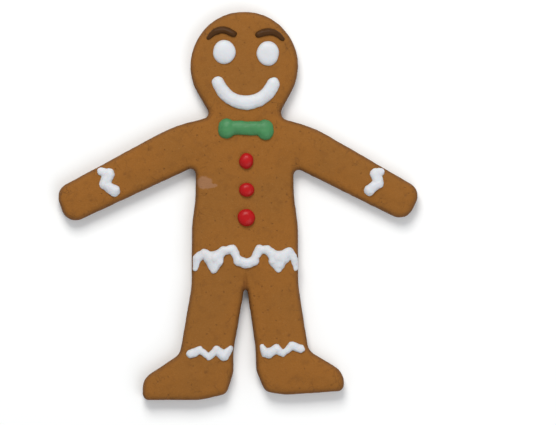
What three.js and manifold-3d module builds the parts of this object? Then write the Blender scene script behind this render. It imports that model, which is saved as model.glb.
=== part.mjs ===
// Gingerbread man cookie, lying flat with its iced face up.
// A figure cut from rolled gingerbread, baked with a soft rounded rim, and decorated with piped sugar icing:
// two dark eyebrows, two round eyes and a smile, a green bow tie, three red buttons, and white trim
// at the wrists, the waist and the ankles.
//
// Millimetres. +Z is up, out of the iced face. +Y points to the head. +X points to the right as seen from
// above, and left and right in the names mean the same. The origin is on the table, under the middle of
// the figure's outline.

import * as THREE from "three";
import { mergeVertices } from "three/addons/utils/BufferGeometryUtils.js";
import Module from "manifold-3d";

const wasm = await Module();
wasm.setup();

// ---- Driving dimensions: the dough ----

const doughThickness = 7.2;
const rimWidth = 2.1; // how far in the baked rounding of the upper edge reaches
const rimDrop = 2.7; // and how far down
const baseRound = 0.6; // the small round where the side meets the tray

const head = { x: 2.2, y: 50.7, radius: 19.3 };

// Corners of the outline, counter-clockwise from the left side of the neck, each with its rounding radius.
// Between them the outline is straight. The figure is cut by hand, so its two sides differ a little.
const leftArm = [
  { x: -9.1, y: 32.0, round: 2.4 }, // neck
  { x: -23.1, y: 28.7, round: 36 }, // shoulder
  { x: -66.0, y: 5.6, round: 5 }, // hand, upper corner
  { x: -61.3, y: -6.8, round: 4.7 }, // hand, lower corner
  { x: -15.1, y: 14.7, round: 2 }, // armpit
];
const leftLeg = [
  { x: -15.15, y: 2.9, round: 29 }, // chest
  { x: -16.6, y: -7.2, round: 29 }, // waist
  { x: -16.6, y: -28.9, round: 29 }, // hip
  { x: -20.9, y: -53.7, round: 5 }, // ankle
  { x: -34.3, y: -62.5, round: 5.4 }, // toe, upper corner
  { x: -34.2, y: -70.0, round: 2.3 }, // toe, lower corner
  { x: -14.4, y: -70.0, round: 22 }, // sole
  { x: -4.3, y: -67.8, round: 2.9 }, // heel
  { x: -1.75, y: -59.9, round: 7 }, // back of the heel
  { x: -1.9, y: -52.7, round: 22 }, // inner shin
  { x: 2.0, y: -30.0, round: 0.7 }, // top of the gap between the legs
];
const rightLeg = [
  { x: 3.4, y: -30.0, round: 0.7 }, // top of the gap between the legs
  { x: 6.5, y: -50.5, round: 22 }, // inner shin
  { x: 6.7, y: -59.5, round: 7 }, // back of the heel
  { x: 9.9, y: -67.0, round: 3.4 }, // heel
  { x: 17.0, y: -68.0, round: 22 }, // sole
  { x: 38.1, y: -66.6, round: 2.3 }, // toe, lower corner
  { x: 38.1, y: -60.0, round: 6.5 }, // toe, upper corner
  { x: 25.3, y: -52.3, round: 5 }, // ankle
  { x: 21.65, y: -29.2, round: 29 }, // hip
  { x: 21.4, y: -7.2, round: 29 }, // waist
  { x: 19.95, y: 2.9, round: 29 }, // chest
];
const rightArm = [
  { x: 19.9, y: 14.4, round: 2 }, // armpit
  { x: 60.7, y: -5.8, round: 5 }, // hand, lower corner
  { x: 66.25, y: 5.6, round: 5 }, // hand, upper corner
  { x: 26.6, y: 28.7, round: 47 }, // shoulder
  { x: 13.8, y: 31.7, round: 2.9 }, // neck
];

// The crease pressed into the dough just above the gap between the legs.
const crease = { x: 2.65, y: -29.6, width: 1.5, length: 13, depth: 1.5 };

// ---- Driving dimensions: the icing ----
// A piped line is a list of points [x, y, width]. Its fullness is its height above the dough divided by
// half its width, so that a wide stretch also stands higher.

const eyebrowFullness = 1.05;
const eyebrowLines = {
  eyebrow_left: [
    [-10.7, 60.7, 1.5], [-9.1, 62.4, 2.2], [-6.6, 63.4, 2.4], [-4.2, 63.3, 2.5], [-1.7, 62.1, 2.6],
  ],
  eyebrow_right: [
    [7.3, 61.8, 2.3], [9.0, 62.5, 2.7], [11.3, 62.9, 2.6], [13.9, 62.2, 2.3], [16.1, 60.3, 1.5],
  ],
};

const eyes = {
  eye_left: { x: -4.9, y: 55.5, width: 8.2, length: 8.7, height: 1.7 },
  eye_right: { x: 10.8, y: 55.0, width: 8.0, length: 8.8, height: 1.7 },
};

// The smile is part of an ellipse, from and to in degrees counter-clockwise from +X.
const smile = {
  x: 2.9,
  y: 48.2,
  halfWidth: 10.7,
  halfHeight: 10.95,
  from: 201,
  to: 337,
  endWidth: 4.8,
  middleWidth: 5.1,
};
const smileFullness = 0.66;

// The bow tie has two lobes, each a short stroke, and a bar between them.
const bowTieFullness = 0.7;
const bowTieLines = [
  [[-4.1, 27.2, 5.9], [-4.1, 28.4, 5.9]],
  [[9.9, 26.8, 5.9], [9.8, 28.2, 5.8]],
  [[-4.1, 28.2, 5.0], [9.8, 28.0, 5.0]],
];

const buttons = {
  button_top: { x: 3.0, y: 16.2, width: 5.2, length: 5.8, height: 2.2 },
  button_middle: { x: 3.2, y: 5.8, width: 5.7, length: 5.0, height: 2.2 },
  button_bottom: { x: 3.0, y: -4.2, width: 6.3, length: 6.3, height: 2.4 },
};

const trimFullness = 0.8;
const cuffLines = {
  cuff_left: [[-49.4, 12.3, 2.8], [-46.5, 11.6, 4.1], [-48.2, 7.9, 3.8], [-44.5, 5.4, 4.0]],
  cuff_right: [[51.6, 12.2, 2.7], [49.6, 11.5, 4.0], [50.7, 8.3, 3.8], [47.4, 5.6, 4.0]],
};
const ankleLines = {
  ankle_left: [
    [-17.1, -53.4, 3.1], [-13.8, -51.9, 2.9], [-10.5, -54.4, 2.3],
    [-7.6, -52.0, 3.2], [-5.1, -54.0, 3.7], [-2.9, -51.4, 1.9],
  ],
  ankle_right: [
    [8.8, -50.7, 1.8], [9.9, -52.9, 3.3], [11.2, -53.0, 3.7], [13.8, -51.5, 3.5],
    [16.2, -53.3, 2.2], [19.4, -50.5, 3.0], [22.6, -51.5, 2.9],
  ],
};
// The waist trim runs from edge to edge of the figure in three scallops.
const waistLine = [
  [-15.3, -22.6, 1.8], [-14.6, -18.8, 3.1], [-12.4, -17.2, 3.2], [-9.7, -18.6, 4.0], [-7.2, -17.9, 3.8],
  [-5.3, -16.1, 3.1], [-1.9, -15.6, 3.1], [-0.6, -18.3, 2.8], [0.2, -19.8, 3.6], [3.0, -20.7, 3.6],
  [5.7, -19.9, 3.6], [6.4, -18.3, 2.9], [7.6, -15.6, 3.1], [10.6, -15.9, 3.1], [12.7, -17.7, 3.8],
  [16.1, -18.2, 4.0], [18.5, -16.7, 3.4], [20.1, -19.1, 2.7], [20.7, -22.6, 1.8],
];
// The two outer scallops are filled with icing: piped down to a tip and up again, with a dab in between.
const waistTips = [
  [[-10.4, -18.9, 4.2], [-8.7, -23.1, 2.6], [-6.9, -19.9, 3.6], [-6.9, -18.2, 3.6]],
  [[-8.6, -18.8, 4.4], [-8.5, -21.3, 3.3]],
  [[12.7, -18.0, 3.6], [12.8, -19.8, 3.6], [14.6, -22.7, 2.4], [16.4, -19.1, 4.2]],
  [[14.5, -18.8, 4.4], [14.5, -21.3, 3.3]],
];

// The icing of the eyes and buttons settles into a low dome. Its profile is a quarter ellipse with these
// powers: below 1 they make the foot and the crown fuller.
const domeFoot = 0.8;
const domeCrown = 0.9;

const ballSwell = 1.05; // how far a piped line bulges where it bends
const seatGap = 0.1; // between the icing and the dough under it

// ---- Fineness of the faceted solids ----

const straightStep = 14; // longest straight side of the outline
const turnStep = THREE.MathUtils.degToRad(16); // largest turn between two sides of the outline
const outlineSag = 0.06; // the most that a side of the outline may cut off its curve
const rimSteps = 4;
const creaseSides = 16;
const pipedSides = 12;
const lineStep = 1.8; // longest step along a smooth line
const endSteps = 3; // over the rounding of a smooth line's end
const endReach = THREE.MathUtils.degToRad(80); // how far over the rounding they go, just short of the tip
const smilePoints = 9;
const domeSides = 22;
const domeSteps = 5;

// ---- Solids and meshes ----

// A closed geometry as a solid that can be joined and cut.
function solidOf(geometry) {
  const bare = geometry.clone();
  bare.deleteAttribute("normal");
  bare.deleteAttribute("uv");
  const merged = mergeVertices(bare);
  return new wasm.Manifold(
    new wasm.Mesh({
      numProp: 3,
      vertProperties: new Float32Array(merged.attributes.position.array),
      triVerts: new Uint32Array(merged.index.array),
    }),
  );
}

function geometryOf(solid) {
  const { vertProperties, triVerts } = solid.getMesh();
  const geometry = new THREE.BufferGeometry();
  geometry.setAttribute("position", new THREE.Float32BufferAttribute(vertProperties, 3));
  geometry.setIndex(new THREE.Uint32BufferAttribute(triVerts, 1));
  geometry.computeVertexNormals();
  return geometry;
}

// A closed skin over rings of points, each ring with the same number of them, running counter-clockwise
// round the way from the first ring to the last. triangulate gives the triangles that close a ring.
function loftGeometry(rings, triangulate) {
  const count = rings[0].length;
  const lastStart = (rings.length - 1) * count;
  const faces = [];
  for (let start = 0; start < lastStart; start += count) {
    for (let i = 0; i < count; i++) {
      const [a, b] = [start + i, start + ((i + 1) % count)];
      faces.push(a, b, b + count, a, b + count, a + count);
    }
  }
  for (const [a, b, c] of triangulate(rings[0])) faces.push(a, c, b);
  for (const [a, b, c] of triangulate(rings.at(-1))) faces.push(lastStart + a, lastStart + b, lastStart + c);
  const geometry = new THREE.BufferGeometry().setFromPoints(rings.flat());
  geometry.setIndex(faces);
  return geometry;
}

// ---- The dough ----

// The point where a straight jaw line from the neck touches the round head.
function jawTouch(neck, side) {
  const reach = Math.hypot(neck.x - head.x, neck.y - head.y);
  const towardsNeck = Math.atan2(neck.y - head.y, neck.x - head.x);
  const angle = towardsNeck + side * Math.acos(head.radius / reach);
  return { x: head.x + head.radius * Math.cos(angle), y: head.y + head.radius * Math.sin(angle), angle };
}

// Adds a corner's rounding to the path, which joins it to what came before with a straight line.
function roundCorner(path, before, corner, after) {
  const at = new THREE.Vector2(corner.x, corner.y);
  const back = new THREE.Vector2(before.x, before.y).sub(at).normalize();
  const on = new THREE.Vector2(after.x, after.y).sub(at).normalize();
  const halfAngle = Math.acos(THREE.MathUtils.clamp(back.dot(on), -1, 1)) / 2;
  const setback = corner.round / Math.tan(halfAngle);
  const start = at.clone().addScaledVector(back, setback);
  const end = at.clone().addScaledVector(on, setback);
  const inwards = back.clone().add(on).normalize();
  const centre = at.clone().addScaledVector(inwards, corner.round / Math.sin(halfAngle));
  const startAngle = Math.atan2(start.y - centre.y, start.x - centre.x);
  const endAngle = Math.atan2(end.y - centre.y, end.x - centre.x);
  const clockwise = back.cross(on) > 0;
  path.absarc(centre.x, centre.y, corner.round, startAngle, endAngle, clockwise);
}

// The figure's outline: the arc of the head, then every corner in turn.
function figurePath() {
  const corners = [...leftArm, ...leftLeg, ...rightLeg, ...rightArm];
  const leftJaw = jawTouch(corners[0], -1);
  const rightJaw = jawTouch(corners.at(-1), 1);
  const path = new THREE.Path();
  path.absarc(head.x, head.y, head.radius, rightJaw.angle, leftJaw.angle + 2 * Math.PI, false);
  const stops = [leftJaw, ...corners, rightJaw];
  for (let i = 1; i < stops.length - 1; i++) roundCorner(path, stops[i - 1], stops[i], stops[i + 1]);
  return path.closePath();
}

// How many sides a line or an arc of the outline takes.
function sideCount(curve) {
  const onStraight = Math.ceil(curve.getLength() / straightStep);
  if (curve.isLineCurve) return onStraight;
  const turn = curve.getLength() / curve.xRadius;
  const sagTurn = 2 * Math.acos(1 - outlineSag / curve.xRadius);
  return Math.max(onStraight, Math.ceil(turn / Math.min(turnStep, sagTurn)));
}

// Points along a path with their outward directions, close together only where it turns.
function outlineSamples(path) {
  return path.curves.flatMap((curve) => {
    const steps = sideCount(curve);
    return Array.from({ length: steps }, (_, i) => {
      const tangent = curve.getTangent(i / steps);
      return { point: curve.getPoint(i / steps), outwards: new THREE.Vector2(tangent.y, -tangent.x) };
    });
  });
}

const outline = outlineSamples(figurePath());

// The slab of dough, from the tray up its side, over the rounded rim and closed by its flat face.
function doughGeometry() {
  const ringAt = (inset, z) =>
    outline.map(({ point, outwards }) => {
      const { x, y } = point.clone().addScaledVector(outwards, -inset);
      return new THREE.Vector3(x, y, z);
    });
  const rings = [ringAt(baseRound, 0), ringAt(0, baseRound)];
  for (let i = 0; i <= rimSteps; i++) {
    const angle = (Math.PI / 2) * (i / rimSteps);
    rings.push(ringAt(rimWidth * (1 - Math.cos(angle)), doughThickness - rimDrop * (1 - Math.sin(angle))));
  }
  return loftGeometry(rings, (ring) =>
    THREE.ShapeUtils.triangulateShape(ring.map(({ x, y }) => new THREE.Vector2(x, y)), []),
  );
}

function creaseGeometry() {
  return new THREE.SphereGeometry(1, creaseSides, creaseSides)
    .scale(crease.width / 2, crease.length / 2, crease.depth)
    .translate(crease.x, crease.y, doughThickness);
}

// The height of the dough's upper surface, which falls away near the edge.
function doughTop(x, y) {
  const spot = new THREE.Vector3(x, y, 0);
  const nearest = new THREE.Vector3();
  const corner = ({ point }) => new THREE.Vector3(point.x, point.y, 0);
  const distances = outline.map((sample, i) => {
    const side = new THREE.Line3(corner(sample), corner(outline[(i + 1) % outline.length]));
    return side.closestPointToPoint(spot, true, nearest).distanceTo(spot);
  });
  const intoRim = Math.max(0, 1 - Math.min(...distances) / rimWidth);
  return doughThickness - rimDrop * (1 - Math.sqrt(1 - intoRim ** 2));
}

// ---- The icing ----

// A flattened ball, where a piped line starts, ends or bends.
function pipedBall({ x, y, z, width }, fullness) {
  return new THREE.SphereGeometry((ballSwell * width) / 2, pipedSides, pipedSides / 2)
    .rotateX(Math.PI / 2)
    .scale(1, 1, fullness)
    .translate(x, y, z);
}

// A straight stretch of a piped line, tapering from one point's width to the next one's.
function pipedStretch(from, to, fullness) {
  const run = new THREE.Vector3(to.x - from.x, to.y - from.y, to.z - from.z);
  const across = new THREE.Vector3(run.y, -run.x, 0).normalize();
  const placing = new THREE.Matrix4()
    .makeBasis(across, run, new THREE.Vector3(0, 0, fullness))
    .setPosition((from.x + to.x) / 2, (from.y + to.y) / 2, (from.z + to.z) / 2);
  return new THREE.CylinderGeometry(to.width / 2, from.width / 2, 1, pipedSides).applyMatrix4(placing);
}

// Lines piped with sharp bends, joined into one solid.
function zigzagSolid(lines, fullness) {
  const parts = lines.flatMap((line) => {
    const points = line.map(([x, y, width]) => ({ x, y, width, z: doughTop(x, y) }));
    const stretches = points.slice(1).map((point, i) => pipedStretch(points[i], point, fullness));
    return [...points.map((point) => pipedBall(point, fullness)), ...stretches];
  });
  return parts.map(solidOf).reduce((joined, part) => joined.add(part));
}

// A line piped along a gentle curve, with round ends.
function smoothSolid(line, fullness) {
  const curve = new THREE.CatmullRomCurve3(line.map(([x, y]) => new THREE.Vector3(x, y, doughTop(x, y))));
  const steps = Math.ceil(curve.getLength() / lineStep);
  const ringAt = (share, past, narrowing) => {
    const at = share * (line.length - 1);
    const before = Math.min(Math.floor(at), line.length - 2);
    const radius = THREE.MathUtils.lerp(line[before][2], line[before + 1][2], at - before) / 2;
    const forwards = curve.getTangent(share);
    const across = new THREE.Vector3(-forwards.y, forwards.x, 0).normalize();
    const centre = curve.getPoint(share).addScaledVector(forwards, past * radius);
    return Array.from({ length: pipedSides }, (_, i) => {
      const angle = (2 * Math.PI * i) / pipedSides;
      return centre
        .clone()
        .addScaledVector(across, narrowing * radius * Math.cos(angle))
        .setZ(centre.z + fullness * narrowing * radius * Math.sin(angle));
    });
  };
  const angles = Array.from({ length: endSteps }, (_, i) => (endReach * (i + 1)) / endSteps);
  const rings = [];
  for (const angle of angles.toReversed()) rings.push(ringAt(0, -Math.sin(angle), Math.cos(angle)));
  for (let i = 0; i <= steps; i++) rings.push(ringAt(i / steps, 0, 1));
  for (const angle of angles) rings.push(ringAt(1, Math.sin(angle), Math.cos(angle)));
  return solidOf(loftGeometry(rings, (ring) => ring.slice(2).map((_, i) => [0, i + 1, i + 2])));
}

// The smile's points on their curve, widest in the middle.
function smileLine() {
  return Array.from({ length: smilePoints }, (_, i) => {
    const share = i / (smilePoints - 1);
    const angle = THREE.MathUtils.degToRad(THREE.MathUtils.lerp(smile.from, smile.to, share));
    const x = smile.x + smile.halfWidth * Math.cos(angle);
    const y = smile.y + smile.halfHeight * Math.sin(angle);
    return [x, y, THREE.MathUtils.lerp(smile.endWidth, smile.middleWidth, Math.sin(Math.PI * share))];
  });
}

// A low dome of icing with a flat underside, as icing settles when a spot is piped in one go.
function settledDome({ x, y, width, length, height }) {
  const profile = [new THREE.Vector2(0, 0)];
  for (let i = 0; i < domeSteps; i++) {
    const angle = (Math.PI / 2) * (i / domeSteps);
    profile.push(new THREE.Vector2(Math.cos(angle) ** domeFoot, Math.sin(angle) ** domeCrown));
  }
  profile.push(new THREE.Vector2(0, 1));
  return new THREE.LatheGeometry(profile, domeSides)
    .rotateX(Math.PI / 2)
    .scale(width / 2, length / 2, height)
    .translate(x, y, doughThickness + seatGap);
}

// ---- The cookie ----

const finishes = {
  gingerbread: new THREE.MeshStandardMaterial({ color: 0x91602c, roughness: 0.85, metalness: 0 }),
  whiteIcing: new THREE.MeshStandardMaterial({ color: 0xdcdce0, roughness: 0.45, metalness: 0 }),
  darkIcing: new THREE.MeshStandardMaterial({ color: 0x503720, roughness: 0.5, metalness: 0 }),
  greenIcing: new THREE.MeshStandardMaterial({ color: 0x4e8958, roughness: 0.45, metalness: 0 }),
  redIcing: new THREE.MeshStandardMaterial({ color: 0xb12123, roughness: 0.4, metalness: 0 }),
};

function buildCookieMan() {
  const man = new THREE.Group();
  const addPiece = (name, geometry, finish) => {
    const mesh = new THREE.Mesh(geometry, finish);
    mesh.name = name;
    man.add(mesh);
  };

  const dough = geometryOf(solidOf(doughGeometry()).subtract(solidOf(creaseGeometry())));
  addPiece("cookie", dough, finishes.gingerbread);

  // Piped icing is cut to follow the dough that it lies on.
  const raisedDough = solidOf(dough.clone().translate(0, 0, seatGap));
  const addIcing = (name, solid, finish) => addPiece(name, geometryOf(solid.subtract(raisedDough)), finish);
  const addZigzag = (name, ...lines) =>
    addIcing(name, zigzagSolid(lines, trimFullness), finishes.whiteIcing);

  for (const [name, line] of Object.entries(eyebrowLines)) {
    addIcing(name, smoothSolid(line, eyebrowFullness), finishes.darkIcing);
  }
  for (const [name, eye] of Object.entries(eyes)) addPiece(name, settledDome(eye), finishes.whiteIcing);
  addIcing("smile", smoothSolid(smileLine(), smileFullness), finishes.whiteIcing);
  addIcing("bow_tie", zigzagSolid(bowTieLines, bowTieFullness), finishes.greenIcing);
  for (const [name, button] of Object.entries(buttons)) {
    addPiece(name, settledDome(button), finishes.redIcing);
  }
  for (const [name, line] of Object.entries(cuffLines)) addZigzag(name, line);
  addZigzag("waist_trim", waistLine, ...waistTips);
  for (const [name, line] of Object.entries(ankleLines)) addZigzag(name, line);
  return man;
}

export default buildCookieMan();
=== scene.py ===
import bmesh
import bpy
import numpy as np
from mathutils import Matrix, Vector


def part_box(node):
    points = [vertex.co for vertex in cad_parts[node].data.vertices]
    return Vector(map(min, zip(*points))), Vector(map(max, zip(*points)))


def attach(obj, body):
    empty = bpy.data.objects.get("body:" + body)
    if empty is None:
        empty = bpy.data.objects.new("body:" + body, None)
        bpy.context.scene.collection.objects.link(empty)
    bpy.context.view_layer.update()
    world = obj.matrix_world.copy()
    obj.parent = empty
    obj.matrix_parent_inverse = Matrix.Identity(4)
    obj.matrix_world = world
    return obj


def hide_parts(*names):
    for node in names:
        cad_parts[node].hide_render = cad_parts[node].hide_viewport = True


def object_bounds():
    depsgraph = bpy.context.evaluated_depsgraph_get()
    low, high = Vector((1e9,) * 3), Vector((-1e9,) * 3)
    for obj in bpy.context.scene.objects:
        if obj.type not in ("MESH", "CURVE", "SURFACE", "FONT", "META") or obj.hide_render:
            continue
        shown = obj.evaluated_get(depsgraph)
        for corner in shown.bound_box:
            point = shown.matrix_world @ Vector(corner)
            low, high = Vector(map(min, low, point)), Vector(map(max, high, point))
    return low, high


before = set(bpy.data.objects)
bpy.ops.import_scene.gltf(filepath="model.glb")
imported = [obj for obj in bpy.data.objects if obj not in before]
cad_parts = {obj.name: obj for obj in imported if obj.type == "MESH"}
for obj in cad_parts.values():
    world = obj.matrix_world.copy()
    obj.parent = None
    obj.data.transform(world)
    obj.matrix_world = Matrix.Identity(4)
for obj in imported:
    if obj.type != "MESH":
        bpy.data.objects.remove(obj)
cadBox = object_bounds()
mm = 0.001
scene = bpy.context.scene
print("frame loaded,", len(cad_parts), "solids")


# Adds a node to the right of the others. Its inputs are values or sockets, and sockets are linked.
def addNode(tree, kind, inputs=None, **settings):
    node = tree.nodes.new(kind)
    node.location = (190 * len(tree.nodes), 0)
    for name, value in settings.items():
        setattr(node, name, value)
    for name, value in (inputs or {}).items():
        if isinstance(value, bpy.types.NodeSocket):
            tree.links.new(value, node.inputs[name])
        else:
            node.inputs[name].default_value = value
    return node


def placeGroup(tree, group, inputs):
    return addNode(tree, "ShaderNodeGroup", inputs, node_tree=group).outputs


def calc(tree, operation, *values):
    return addNode(tree, "ShaderNodeMath", dict(enumerate(values)), operation=operation).outputs[0]


def calcVector(tree, operation, a, b):
    return addNode(tree, "ShaderNodeVectorMath", {0: a, 1: b}, operation=operation).outputs[0]


def scaleVector(tree, vector, factor):
    return addNode(tree, "ShaderNodeVectorMath", {0: vector, "Scale": factor}, operation="SCALE").outputs[0]


def splitVector(tree, vector):
    return addNode(tree, "ShaderNodeSeparateXYZ", {0: vector}).outputs


# 0 where value is below low and 1 where it is above high, or the other way round if low is the larger.
def fade(tree, value, low, high):
    inputs = {"Value": value, "From Min": low, "From Max": high}
    return addNode(tree, "ShaderNodeMapRange", inputs, interpolation_type="SMOOTHSTEP").outputs[0]


# Cloudy noise from 0 to 1, with lumps about size across.
def clouds(tree, position, size, detail=2.0, roughness=0.5, output="Fac"):
    scale = calc(tree, "DIVIDE", 1.0, size) if isinstance(size, bpy.types.NodeSocket) else 1 / size
    inputs = {"Vector": position, "Scale": scale, "Detail": detail, "Roughness": roughness}
    return addNode(tree, "ShaderNodeTexNoise", inputs).outputs[output]


# Cloudy noise that points a different way in each lump, up to 0.5 along each axis.
def drift(tree, position, size, detail):
    toward = clouds(tree, position, size, detail, output="Color")
    return calcVector(tree, "SUBTRACT", toward, (0.5, 0.5, 0.5))


def cells(tree, position, spacing, feature="F1"):
    inputs = {"Vector": position, "Scale": calc(tree, "DIVIDE", 1.0, spacing)}
    return addNode(tree, "ShaderNodeTexVoronoi", inputs, feature=feature).outputs


# Round spots scattered at random, each 1 in its middle and 0 outside. share is how many cells have one.
# Their radius differs, from a quarter of width to a little over half.
def spots(tree, position, spacing, width, share, softness=0.6):
    grid = cells(tree, position, spacing)
    chance = splitVector(tree, grid["Color"])
    radius = calc(tree, "MULTIPLY", width, calc(tree, "MULTIPLY_ADD", chance["Y"], 0.3, 0.25))
    distance = calc(tree, "MULTIPLY", grid["Distance"], spacing)
    inside = fade(tree, distance, radius, calc(tree, "MULTIPLY", radius, 1 - softness))
    return calc(tree, "MULTIPLY", inside, calc(tree, "LESS_THAN", chance["X"], share))


# From color to tone, as far as the mask and the strength say. 6 and 7 are the node's two colour sockets.
def tint(tree, color, tone, mask, strength):
    inputs = {0: calc(tree, "MULTIPLY", mask, strength), 6: color, 7: tone}
    return addNode(tree, "ShaderNodeMix", inputs, data_type="RGBA").outputs[2]


# An empty node group with named sockets. Returns it with its input and output node's sockets.
def newTree(name, kind, inputs, outputs):
    tree = bpy.data.node_groups.new(name, kind)
    for way, sockets in (("INPUT", inputs), ("OUTPUT", outputs)):
        for label, socketKind in sockets.items():
            tree.interface.new_socket(label, in_out=way, socket_type="NodeSocket" + socketKind)
    return tree, tree.nodes.new("NodeGroupInput").outputs, tree.nodes.new("NodeGroupOutput").inputs


def geometryTree(name, *sizes):
    inputs = {"Geometry": "Geometry", **{size: "Float" for size in sizes}, "Finish": "Material"}
    return newTree(name, "GeometryNodeTree", inputs, {"Geometry": "Geometry"})


# Moves the points by offset and ends the tree.
def endTree(tree, geometry, offset, given, result):
    moved = addNode(tree, "GeometryNodeSetPosition", {"Geometry": geometry, "Offset": offset})
    real = addNode(tree, "GeometryNodeRealizeInstances", {0: moved.outputs[0]})
    inputs = {"Geometry": real.outputs[0], "Material": given["Finish"]}
    finished = addNode(tree, "GeometryNodeSetMaterial", inputs)
    tree.links.new(finished.outputs[0], result["Geometry"])


# Puts the tree on the piece as a modifier, with sizes by their names, and turns the result into a plain mesh.
def runTree(piece, tree, sizes, finish):
    modifier = piece.modifiers.new(tree.name, "NODES")
    modifier.node_group = tree
    for socket in tree.interface.items_tree:
        if socket.in_out == "INPUT" and socket.name in sizes:
            modifier[socket.identifier] = float(sizes[socket.name])
        elif socket.in_out == "INPUT" and socket.name == "Finish":
            modifier[socket.identifier] = finish
    keepResult(piece)


def keepResult(piece):
    depsgraph = bpy.context.evaluated_depsgraph_get()
    made = bpy.data.meshes.new_from_object(
        piece.evaluated_get(depsgraph), preserve_all_data_layers=True, depsgraph=depsgraph
    )
    made.name = piece.name
    piece.modifiers.clear()
    piece.data = made


# Puts a copy of a CAD solid in the scene, welded into a closed skin. Where lowered is given, a second skin
# that far below it makes the piece reach further down, once evenSkin has joined the two.
def copySolid(nodeName, pieceName, lowered=0.0):
    skin = bmesh.new()
    skin.from_mesh(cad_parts[nodeName].data)
    bmesh.ops.remove_doubles(skin, verts=skin.verts, dist=0.001 * mm)
    if lowered:
        extra = bmesh.ops.duplicate(skin, geom=skin.verts[:] + skin.edges[:] + skin.faces[:])
        corners = [part for part in extra["geom"] if isinstance(part, bmesh.types.BMVert)]
        bmesh.ops.translate(skin, verts=corners, vec=(0, 0, -lowered))
    mesh = bpy.data.meshes.new(pieceName)
    skin.to_mesh(mesh)
    skin.free()
    piece = bpy.data.objects.new(pieceName, mesh)
    scene.collection.objects.link(piece)
    return piece


# Gives the piece one even skin of small faces, and rounds it a little.
def evenSkin(piece, faceSize, rounding):
    grid = piece.modifiers.new("grid", "REMESH")
    grid.mode = "VOXEL"
    grid.voxel_size = faceSize
    grid.use_smooth_shade = True
    relax = piece.modifiers.new("relax", "SMOOTH")
    relax.factor = 0.5
    relax.iterations = rounding
    keepResult(piece)


def readPoints(piece):
    points = np.empty(len(piece.data.vertices) * 3)
    piece.data.vertices.foreach_get("co", points)
    return points.reshape(-1, 3)


def writePoints(piece, points):
    piece.data.vertices.foreach_set("co", points.ravel())
    piece.data.update()


def keepInBox(piece):
    writePoints(piece, np.clip(readPoints(piece), cadBox[0], cadBox[1]))


# The baked dough is thickest in its middle and falls away slowly to the rim.
pillow = {
    "drop": 0.75 * mm,  # how much lower it is at the edge
    "reach": 9.5 * mm,  # how far in that goes
    "wallFoot": 0.6 * mm,  # where the straight side wall of the solid starts
}


# The two ends of each side of the dough's outline, seen from above.
def outlineSides():
    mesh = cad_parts["cookie"].data
    sides = set()
    for face in mesh.polygons:
        corners = [mesh.vertices[i].co for i in face.vertices]
        onFoot = [c for c in corners if abs(c.z - pillow["wallFoot"]) < 0.01 * mm]
        if len(onFoot) == 2:
            sides.add(tuple(sorted((round(c.x, 7), round(c.y, 7)) for c in onFoot)))
    return np.array(sorted(sides))


outline = outlineSides()


# How far in from the outline each point is, seen from above.
def inFromEdge(points):
    nearest = np.full(len(points), np.inf)
    for start, end in outline:
        run = end - start
        along = np.clip((points[:, :2] - start) @ run / (run @ run), 0, 1)
        gap = points[:, :2] - start - along[:, None] * run
        np.minimum(nearest, np.hypot(gap[:, 0], gap[:, 1]), out=nearest)
    return nearest


# How far the pillowed top lies below the solid's.
def pillowSink(inwards):
    share = np.clip(inwards / pillow["reach"], 0, 1)
    return pillow["drop"] * (1 - share * share * (3 - 2 * share))


creaseMiddle = 2.65 * mm  # x of the crease above the gap between the legs

doughTones = {
    "base": (0.255, 0.0990, 0.0142, 1),
    "warm": (0.276, 0.1025, 0.0130, 1),
    "deep": (0.205, 0.077, 0.0128, 1),
    "pale": (0.360, 0.190, 0.0700, 1),
    # pore is painted shade, laid into the dents: open crumb, pits, hairline cracks and pores
    "pore": (0.100, 0.036, 0.0090, 1),
    "spice": (0.075, 0.028, 0.0090, 1),
    "underside": (0.165, 0.062, 0.0120, 1),
    "rim": (0.110, 0.042, 0.0100, 1),
    "rubbed": (0.330, 0.165, 0.0850, 1),
    # painted shade for the crease above the gap between the legs
    "crease": (0.150, 0.047, 0.0110, 1),
}

# What tints the dough, in this order: its tone and how strongly it shows.
doughTints = {
    "mottle": ("deep", 0.55),
    "darkGrain": ("deep", 0.45),
    "paleGrain": ("pale", 0.20),
    # crumb, pits, cracks and pores: painted shade in the dents, which doughRelief also lowers
    "crumb": ("pore", 0.50),
    "pits": ("pore", 0.50),
    "spice": ("spice", 0.45),
    "flour": ("pale", 0.35),
    "cracks": ("pore", 0.40),
    "underside": ("underside", 0.90),
    "rim": ("rim", 0.45),
    "pores": ("pore", 0.45),
    "rubbed": ("rubbed", 0.70),
    # painted shade in the crease
    "crease": ("crease", 0.55),
}

# How much each raises the surface, or lowers it, as a share of the look's depth.
doughRelief = {"mottle": 0.5, "grain": 1.3, "spice": 0.25, "crumb": -1.5, "pits": -0.8, "cracks": -0.4}

doughLook = {
    "shine": 0.25,
    "roughness": 0.72,
    "roughnessChange": 0.2,
    "depth": 0.20 * mm,
    "broadSize": 22 * mm,  # patches of the warm tone
    "mottleSize": 3.2 * mm,
    "grainSize": 0.50 * mm,
    "crumbSize": 1.0 * mm,
    "rimWidth": 1.6 * mm,
    "crackEdge": 2.0 * mm,  # fine cracks are full up to this far in from the edge
    "crackReach": 7.0 * mm,  # and are gone this far in
    "pits": {"Spacing": 1.7 * mm, "Width": 0.85 * mm, "Share": 0.5},
    "spice": {"Spacing": 1.9 * mm, "Width": 0.60 * mm, "Share": 0.4},
    "flour": {"Spacing": 2.3 * mm, "Width": 0.45 * mm, "Share": 0.3},
    "cracks": {"Spacing": 4.5 * mm, "Width": 0.12 * mm},
}

# How fine cracks bend, and how large the patches are in which they show.
crackShape = {"bendSize": 2.2 * mm, "bend": 2.4 * mm, "patchSize": 6 * mm}
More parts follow.
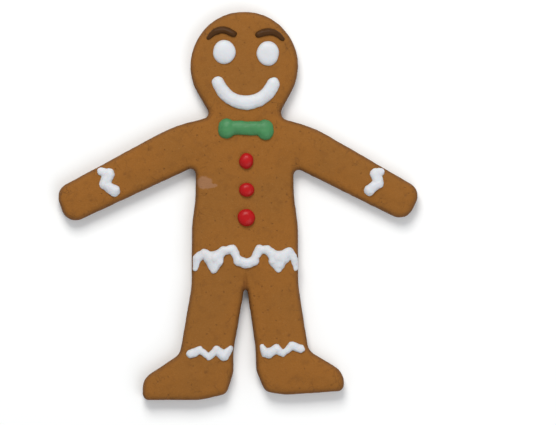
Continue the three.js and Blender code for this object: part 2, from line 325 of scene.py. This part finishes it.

# Ragged ovals: two where the crust has been rubbed, on the left of the chest, and one of painted shade in the
# crease above the gap between the legs. Core is the share of the reach that has the full colour.
raggedSize = 1.5 * mm
rubbedMarks = [
    {
        "Middle": (-12.2 * mm, 8.4 * mm, 7 * mm),
        "Reach": (3.3 * mm, 2.7 * mm, 4 * mm),
        "Core": 0.7,
        "Raggedness": 1.6 * mm,
    },
    {
        "Middle": (-9.9 * mm, 7.4 * mm, 7 * mm),
        "Reach": (2.8 * mm, 1.0 * mm, 4 * mm),
        "Core": 0.7,
        "Raggedness": 1.6 * mm,
    },
]
# A ragged oval of painted shade in the crease above the gap between the legs.
creaseShadeMark = {
    "Middle": (creaseMiddle, -31.0 * mm, 7 * mm),
    "Reach": (2.0 * mm, 7.2 * mm, 4 * mm),
    "Core": 0.15,
    "Raggedness": 0.5 * mm,
}


# Shader group: fine specks, for pits, spice and flour.
def speckGroup():
    inputs = {"Vector": "Vector", "Spacing": "Float", "Width": "Float", "Share": "Float"}
    tree, given, result = newTree("specks", "ShaderNodeTree", inputs, {"Mask": "Float"})
    shift = scaleVector(tree, drift(tree, given["Vector"], given["Width"], 1.0), given["Width"])
    place = calcVector(tree, "ADD", given["Vector"], shift)
    mask = spots(tree, place, given["Spacing"], given["Width"], given["Share"], 0.9)
    tree.links.new(mask, result["Mask"])
    return tree


# Shader group: a ragged oval mark.
def markGroup():
    inputs = {
        "Vector": "Vector",
        "Middle": "Vector",
        "Reach": "Vector",
        "Core": "Float",
        "Raggedness": "Float",
    }
    tree, given, result = newTree("raggedMark", "ShaderNodeTree", inputs, {"Mask": "Float"})
    shift = scaleVector(tree, drift(tree, given["Vector"], raggedSize, 3.0), given["Raggedness"])
    moved = calcVector(tree, "ADD", calcVector(tree, "SUBTRACT", given["Vector"], given["Middle"]), shift)
    scaled = calcVector(tree, "DIVIDE", moved, given["Reach"])
    length = addNode(tree, "ShaderNodeVectorMath", {0: scaled}, operation="LENGTH").outputs["Value"]
    tree.links.new(fade(tree, length, 1.0, given["Core"]), result["Mask"])
    return tree


# Shader group: hairline cracks, in patches.
def crackGroup():
    inputs = {"Vector": "Vector", "Spacing": "Float", "Width": "Float"}
    tree, given, result = newTree("hairCracks", "ShaderNodeTree", inputs, {"Mask": "Float"})
    bends = drift(tree, given["Vector"], crackShape["bendSize"], 3.0)
    shift = scaleVector(tree, bends, crackShape["bend"])
    place = calcVector(tree, "ADD", given["Vector"], shift)
    toEdge = cells(tree, place, given["Spacing"], "DISTANCE_TO_EDGE")["Distance"]
    line = fade(tree, calc(tree, "MULTIPLY", toEdge, given["Spacing"]), given["Width"], 0.0)
    patch = fade(tree, clouds(tree, given["Vector"], crackShape["patchSize"]), 0.50, 0.60)
    tree.links.new(calc(tree, "MULTIPLY", line, patch), result["Mask"])
    return tree


specks = speckGroup()
raggedMark = markGroup()
hairCracks = crackGroup()


# A new material. Returns it with its node tree, its shader and the Object coordinates.
def newMaterial(name, constants):
    material = bpy.data.materials.new(name)
    material.use_nodes = True
    shader = material.node_tree.nodes["Principled BSDF"]
    for label, value in constants.items():
        shader.inputs[label].default_value = value
    position = material.node_tree.nodes.new("ShaderNodeTexCoord").outputs["Object"]
    return material, material.node_tree, shader, position


def feedShader(tree, shader, color, roughness, height, depth):
    bump = addNode(tree, "ShaderNodeBump", {"Height": height, "Distance": depth, "Strength": 1.0})
    tree.links.new(color, shader.inputs["Base Color"])
    tree.links.new(roughness, shader.inputs["Roughness"])
    tree.links.new(bump.outputs[0], shader.inputs["Normal"])


def gingerbreadMaterial():
    look = doughLook
    material, tree, shader, position = newMaterial("gingerbread", {"Specular IOR Level": look["shine"]})

    def attribute(name):
        return addNode(tree, "ShaderNodeAttribute", attribute_name=name).outputs["Fac"]

    def mask(group, values):
        return placeGroup(tree, group, {"Vector": position, **values})["Mask"]

    broad = fade(tree, clouds(tree, position, look["broadSize"], 3.0), 0.35, 0.65)
    mottle = clouds(tree, position, look["mottleSize"], 4.0, 0.6)
    grain = clouds(tree, position, look["grainSize"], 4.0, 0.65)
    openCrumb = fade(tree, clouds(tree, position, look["crumbSize"], 3.0, 0.6), 0.50, 0.24)
    inwards = attribute("inwards")
    nearEdge = fade(tree, inwards, look["crackReach"], look["crackEdge"])
    above = splitVector(tree, position)["Z"]
    features = {
        "mottle": mottle,
        "grain": grain,
        # crumb, pits and cracks mark dents, which also get the pore tone as painted shade
        "crumb": calc(tree, "MULTIPLY", openCrumb, attribute("wall")),
        "pits": mask(specks, look["pits"]),
        "spice": mask(specks, look["spice"]),
        "flour": mask(specks, look["flour"]),
        "cracks": calc(tree, "MULTIPLY", mask(hairCracks, look["cracks"]), nearEdge),
    }
    masks = {
        **features,
        "mottle": fade(tree, mottle, 0.50, 0.72),
        "darkGrain": fade(tree, grain, 0.52, 0.72),
        "paleGrain": fade(tree, grain, 0.46, 0.28),
        "underside": fade(tree, above, 1.1 * mm, 0.2 * mm),
        "rim": fade(tree, inwards, look["rimWidth"], 0.0),
        # painted shade in the pores that the crust tree cut
        "pores": attribute("pore"),
        "rubbed": calc(tree, "MAXIMUM", *(mask(raggedMark, mark) for mark in rubbedMarks)),
        "crease": mask(raggedMark, creaseShadeMark),
    }
    color = tint(tree, doughTones["base"], doughTones["warm"], broad, 1.0)
    for feature, (tone, strength) in doughTints.items():
        color = tint(tree, color, doughTones[tone], masks[feature], strength)

    height = 0.0
    for feature, amount in doughRelief.items():
        height = calc(tree, "MULTIPLY_ADD", features[feature], amount, height)
    roughness = calc(tree, "MULTIPLY_ADD", mottle, look["roughnessChange"], look["roughness"])
    feedShader(tree, shader, color, roughness, height, look["depth"])
    return material


# Set sugar icing of any colour has soft clouds, a fine grain and a few pinholes.
icingSurface = {
    "cloudSize": 3.5 * mm,
    "cloudTint": 0.6,
    "grainSize": 0.35 * mm,
    "grainHeight": 0.6,  # as a share of depth, as pinHeight is
    "pinSpacing": 1.7 * mm,
    "pinWidth": 0.28 * mm,
    "pinShare": 0.4,
    "pinTint": 0.5,
    "pinHeight": -0.6,
    "depth": 0.05 * mm,
    "glossChange": 0.18,
    "glow": 1.2 * mm,  # how far light spreads under its skin
}


# Shader group: sugar icing that has set, a little uneven in colour and gloss.
def setIcingGroup():
    inputs = {"Vector": "Vector", "Tone": "Color", "Thin Tone": "Color", "Gloss": "Float"}
    outputs = {"Color": "Color", "Roughness": "Float", "Height": "Float"}
    tree, given, result = newTree("setIcing", "ShaderNodeTree", inputs, outputs)
    position, look = given["Vector"], icingSurface
    cloudy = clouds(tree, position, look["cloudSize"], 3.0)
    grain = clouds(tree, position, look["grainSize"])
    pins = spots(tree, position, look["pinSpacing"], look["pinWidth"], look["pinShare"])
    color = tint(tree, given["Tone"], given["Thin Tone"], fade(tree, cloudy, 0.42, 0.75), look["cloudTint"])
    color = tint(tree, color, given["Thin Tone"], pins, look["pinTint"])
    matt = calc(tree, "SUBTRACT", 1.0 - look["glossChange"] / 2, given["Gloss"])
    roughness = calc(tree, "MULTIPLY_ADD", cloudy, look["glossChange"], matt)
    height = calc(tree, "MULTIPLY", grain, look["grainHeight"])
    height = calc(tree, "MULTIPLY_ADD", pins, look["pinHeight"], height)
    tree.links.new(color, result["Color"])
    tree.links.new(roughness, result["Roughness"])
    tree.links.new(height, result["Height"])
    return tree


setIcing = setIcingGroup()

icingLooks = {
    "white_icing": {
        "tone": (0.615, 0.630, 0.655, 1),
        "thinTone": (0.580, 0.575, 0.580, 1),
        "gloss": 0.48,
        "shine": 0.40,
        "softness": 0.12,
    },
    "dark_icing": {
        "tone": (0.060, 0.0235, 0.0055, 1),
        "thinTone": (0.074, 0.029, 0.0075, 1),
        "gloss": 0.58,
        "shine": 0.09,
        "softness": 0.0,
    },
    "green_icing": {
        "tone": (0.055, 0.215, 0.078, 1),
        "thinTone": (0.046, 0.178, 0.063, 1),
        "gloss": 0.52,
        "shine": 0.28,
        "softness": 0.05,
    },
    "red_icing": {
        "tone": (0.410, 0.0070, 0.0085, 1),
        "thinTone": (0.335, 0.0060, 0.0075, 1),
        "gloss": 0.68,
        "shine": 0.18,
        "softness": 0.05,
    },
}


def icingMaterial(name, look):
    constants = {
        "Specular IOR Level": look["shine"],
        "Subsurface Weight": look["softness"],
        "Subsurface Scale": icingSurface["glow"],
    }
    material, tree, shader, position = newMaterial(name, constants)
    inputs = {
        "Vector": position,
        "Tone": look["tone"],
        "Thin Tone": look["thinTone"],
        "Gloss": look["gloss"],
    }
    surface = placeGroup(tree, setIcing, inputs)
    feedShader(tree, shader, surface["Color"], surface["Roughness"], surface["Height"], icingSurface["depth"])
    return material


gingerbread = gingerbreadMaterial()
icingMaterials = {name: icingMaterial(name, look) for name, look in icingLooks.items()}
print("finishes made")

dough = {
    "faceSize": 0.45 * mm,
    "rounding": 7,  # how often the skin is smoothed
    "crust": {
        "Rise": 0.12 * mm,  # what rounding the skin took away
        "Wave Size": 13 * mm,
        "Wave Depth": 0.50 * mm,
        "Wrinkle Size": 2.6 * mm,
        "Wrinkle Depth": 0.30 * mm,
        "Blister Spacing": 6.5 * mm,
        "Blister Width": 4.5 * mm,
        "Blister Share": 0.35,
        "Blister Height": 0.14 * mm,
        "Pore Spacing": 4.2 * mm,
        "Pore Width": 1.7 * mm,
        "Pore Share": 0.4,
        "Pore Depth": 0.26 * mm,
    },
}


# The crust as it bakes: slow waves, low blisters, a fine wrinkle and open pores.
def crustTree():
    tree, given, result = geometryTree("bakedCrust", *dough["crust"])
    position = addNode(tree, "GeometryNodeInputPosition").outputs[0]
    normal = addNode(tree, "GeometryNodeInputNormal").outputs[0]
    facing = splitVector(tree, normal)["Z"]
    offTray = fade(tree, facing, -0.9, -0.5)  # 0 on the flat underside
    wall = fade(tree, calc(tree, "ABSOLUTE", facing), 0.8, 0.3)  # 1 on the side

    def scatter(kind, softness):
        sizes = (given[kind + " Spacing"], given[kind + " Width"], given[kind + " Share"])
        return spots(tree, position, *sizes, softness)

    wave = calc(tree, "SUBTRACT", clouds(tree, position, given["Wave Size"]), 0.5)
    wrinkle = calc(tree, "SUBTRACT", clouds(tree, position, given["Wrinkle Size"], 3.0), 0.5)
    blister = scatter("Blister", 0.95)
    pore = scatter("Pore", 0.8)
    height = calc(tree, "MULTIPLY_ADD", wave, given["Wave Depth"], given["Rise"])
    height = calc(tree, "MULTIPLY_ADD", wrinkle, given["Wrinkle Depth"], height)
    height = calc(tree, "MULTIPLY_ADD", blister, given["Blister Height"], height)
    height = calc(tree, "MULTIPLY", height, offTray)
    height = calc(tree, "SUBTRACT", height, calc(tree, "MULTIPLY", pore, given["Pore Depth"]))

    marked = given["Geometry"]
    # pore is stored so that the material can paint shade into the pores
    for name, value in {"pore": pore, "wall": wall}.items():
        inputs = {"Geometry": marked, "Name": name, "Value": value}
        marked = addNode(tree, "GeometryNodeStoreNamedAttribute", inputs, domain="POINT").outputs[0]
    endTree(tree, marked, scaleVector(tree, normal, height), given, result)
    return tree


# How far the crease closes again as the dough rises, and where.
creaseRise = {
    "share": 0.45,
    "halfWidth": 1.3 * mm,
    "flank": 1 / 3,  # the part of the half width in which the rise comes in
    "from": -29.8 * mm,
    "to": -27.0 * mm,
}


def raiseCrease(points, top):
    aside = np.abs(points[:, 0] - creaseMiddle) / creaseRise["halfWidth"]
    along = (points[:, 1] - creaseRise["from"]) / (creaseRise["to"] - creaseRise["from"])
    share = creaseRise["share"] * np.clip((1 - aside) / creaseRise["flank"], 0, 1) * np.clip(along, 0, 1)
    share[points[:, 2] < top / 2] = 0  # the lower half stays as it is
    points[:, 2] += share * (top - points[:, 2])


def bakeDough():
    piece = copySolid("cookie", "gingerbreadSlab")
    evenSkin(piece, dough["faceSize"], dough["rounding"])
    points = readPoints(piece)
    inwards = inFromEdge(points)
    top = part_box("cookie")[1].z
    raiseCrease(points, top)
    points[:, 2] -= pillowSink(inwards) * points[:, 2] / top
    writePoints(piece, points)
    runTree(piece, crustTree(), dough["crust"], gingerbread)
    keepInBox(piece)
    edge = piece.data.attributes.new("inwards", "FLOAT", "POINT")
    edge.data.foreach_set("value", inwards.astype(np.float32))
    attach(piece, "root")
    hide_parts("cookie")
    print("dough baked,", len(piece.data.polygons), "faces")


icing = {
    "faceSize": 0.16 * mm,
    "seat": 0.55 * mm,  # how far it reaches down past the solid's foot, into the dough
}

# How the hand worked, for spots that settle, for single strokes and for zigzags. Rounding is how often the
# skin is smoothed, and fullness gives back what that takes away.
spotHand = {
    "rounding": 24,
    "line": {
        "Fullness": 0.10 * mm,
        "Wander Size": 4.0 * mm,
        "Wander Depth": 0.24 * mm,
        "Swell Size": 3.6 * mm,
        "Swell Depth": 0.16 * mm,
        "Skin Size": 1.1 * mm,
        "Skin Depth": 0.02 * mm,
    },
}
strokeHand = {
    "rounding": 26,
    "line": {
        "Fullness": 0.11 * mm,
        "Wander Size": 3.2 * mm,
        "Wander Depth": 0.30 * mm,
        "Swell Size": 2.8 * mm,
        "Swell Depth": 0.26 * mm,
        "Skin Size": 1.0 * mm,
        "Skin Depth": 0.03 * mm,
    },
}
zigzagHand = {
    "rounding": 15,
    "line": {
        "Fullness": 0.08 * mm,
        "Wander Size": 2.2 * mm,
        "Wander Depth": 0.42 * mm,
        "Swell Size": 2.2 * mm,
        "Swell Depth": 0.30 * mm,
        "Skin Size": 0.9 * mm,
        "Skin Depth": 0.03 * mm,
    },
}

# The bow tie's lobes and the filled scallops of the waist run together more.
bowHand = {"rounding": 44, "line": {**strokeHand["line"], "Fullness": 0.17 * mm}}
waistHand = {"rounding": 26, "line": {**zigzagHand["line"], "Fullness": 0.12 * mm}}

icingPieces = [
    ("dark_icing", strokeHand, ["eyebrow_left", "eyebrow_right"]),
    ("white_icing", spotHand, ["eye_left", "eye_right"]),
    ("white_icing", strokeHand, ["smile"]),
    ("green_icing", bowHand, ["bow_tie"]),
    ("red_icing", spotHand, ["button_top", "button_middle", "button_bottom"]),
    ("white_icing", zigzagHand, ["cuff_left", "cuff_right", "ankle_left", "ankle_right"]),
    ("white_icing", waistHand, ["waist_trim"]),
]


# Icing as a hand pipes it: the line wanders, swells and thins a little, and its skin is not quite smooth.
def pipedTree():
    tree, given, result = geometryTree("pipedIcing", *strokeHand["line"])
    position = addNode(tree, "GeometryNodeInputPosition").outputs[0]
    normal = addNode(tree, "GeometryNodeInputNormal").outputs[0]
    wander = drift(tree, position, given["Wander Size"], 1.0)
    sideways = calcVector(tree, "MULTIPLY", wander, (2.0, 2.0, 0.0))
    swell = calc(tree, "SUBTRACT", clouds(tree, position, given["Swell Size"]), 0.5)
    skin = calc(tree, "SUBTRACT", clouds(tree, position, given["Skin Size"], 1.0), 0.5)
    height = calc(tree, "MULTIPLY_ADD", swell, given["Swell Depth"], given["Fullness"])
    height = calc(tree, "MULTIPLY_ADD", skin, given["Skin Depth"], height)
    aside = scaleVector(tree, sideways, given["Wander Depth"])
    offset = calcVector(tree, "ADD", aside, scaleVector(tree, normal, height))
    endTree(tree, given["Geometry"], offset, given, result)
    return tree


def pipeIcing(node, slotName, hand, tree):
    piece = copySolid(node, node + "_icing", icing["seat"])
    evenSkin(piece, icing["faceSize"], hand["rounding"])
    points = readPoints(piece)
    points[:, 2] -= pillowSink(inFromEdge(points))
    writePoints(piece, points)
    runTree(piece, tree, hand["line"], icingMaterials[slotName])
    keepInBox(piece)
    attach(piece, "root")
    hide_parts(node)
    return len(piece.data.polygons)


bakeDough()
piping = pipedTree()
for slotName, hand, nodes in icingPieces:
    faces = sum(pipeIcing(node, slotName, hand, piping) for node in nodes)
    print(slotName, "piped,", len(nodes), "pieces,", faces, "faces")


# A plain pale floor, a soft key light from beyond the head and a soft fill.
studio = {
    "floorSize": 6.0,
    "floorDrop": 0.02 * mm,  # keeps the floor off the underside
    "floorTone": (0.93, 0.93, 0.92, 1),
    "floorRoughness": 0.9,
    "floorShine": 0.1,
    "lights": {
        "key": {"place": (-0.12, 0.66, 0.76), "size": 0.50, "power": 7.8, "tone": (1.0, 0.985, 0.96)},
        "fill": {"place": (0.45, -0.50, 0.75), "size": 0.80, "power": 3.4, "tone": (0.95, 0.97, 1.0)},
    },
    "skyTone": (0.93, 0.96, 1.0, 1),
    "skyStrength": 0.44,
}

camera = {
    "imageWidth": 556,
    "pixel": 0.36082 * mm,  # what one pixel of the image covers on the cookie
    "aim": (14.43 * mm, -2.35 * mm, 4.5 * mm),
    "lens": 500.0,
    "sensor": 36.0,
}


def layFloor():
    half, level = studio["floorSize"] / 2, -studio["floorDrop"]
    corners = [(-half, -half, level), (half, -half, level), (half, half, level), (-half, half, level)]
    mesh = bpy.data.meshes.new("floor")
    mesh.from_pydata(corners, [], [(0, 1, 2, 3)])
    floor = bpy.data.objects.new("floor", mesh)
    scene.collection.objects.link(floor)
    constants = {
        "Base Color": studio["floorTone"],
        "Roughness": studio["floorRoughness"],
        "Specular IOR Level": studio["floorShine"],
    }
    mesh.materials.append(newMaterial("floor", constants)[0])


def hangLights():
    for name, values in studio["lights"].items():
        light = bpy.data.lights.new(name, "AREA")
        light.shape = "SQUARE"
        light.size = values["size"]
        light.energy = values["power"]
        light.color = values["tone"]
        lamp = bpy.data.objects.new(name, light)
        lamp.location = values["place"]
        lamp.rotation_euler = (-lamp.location).to_track_quat("-Z", "Y").to_euler()
        scene.collection.objects.link(lamp)


def setSky():
    world = bpy.data.worlds.new("sky")
    world.use_nodes = True
    sky = world.node_tree.nodes["Background"]
    sky.inputs["Color"].default_value = studio["skyTone"]
    sky.inputs["Strength"].default_value = studio["skyStrength"]
    scene.world = world
    scene.view_settings.view_transform = "Standard"


def setCamera():
    data = bpy.data.cameras.new("camera")
    data.lens = camera["lens"]
    data.sensor_width = camera["sensor"]
    viewer = bpy.data.objects.new("camera", data)
    halfWidth = camera["imageWidth"] * camera["pixel"] / 2
    x, y, z = camera["aim"]
    viewer.location = (x, y, z + halfWidth * camera["lens"] / (camera["sensor"] / 2))
    scene.collection.objects.link(viewer)
    scene.camera = viewer


layFloor()
hangLights()
setSky()
setCamera()
print("studio set")
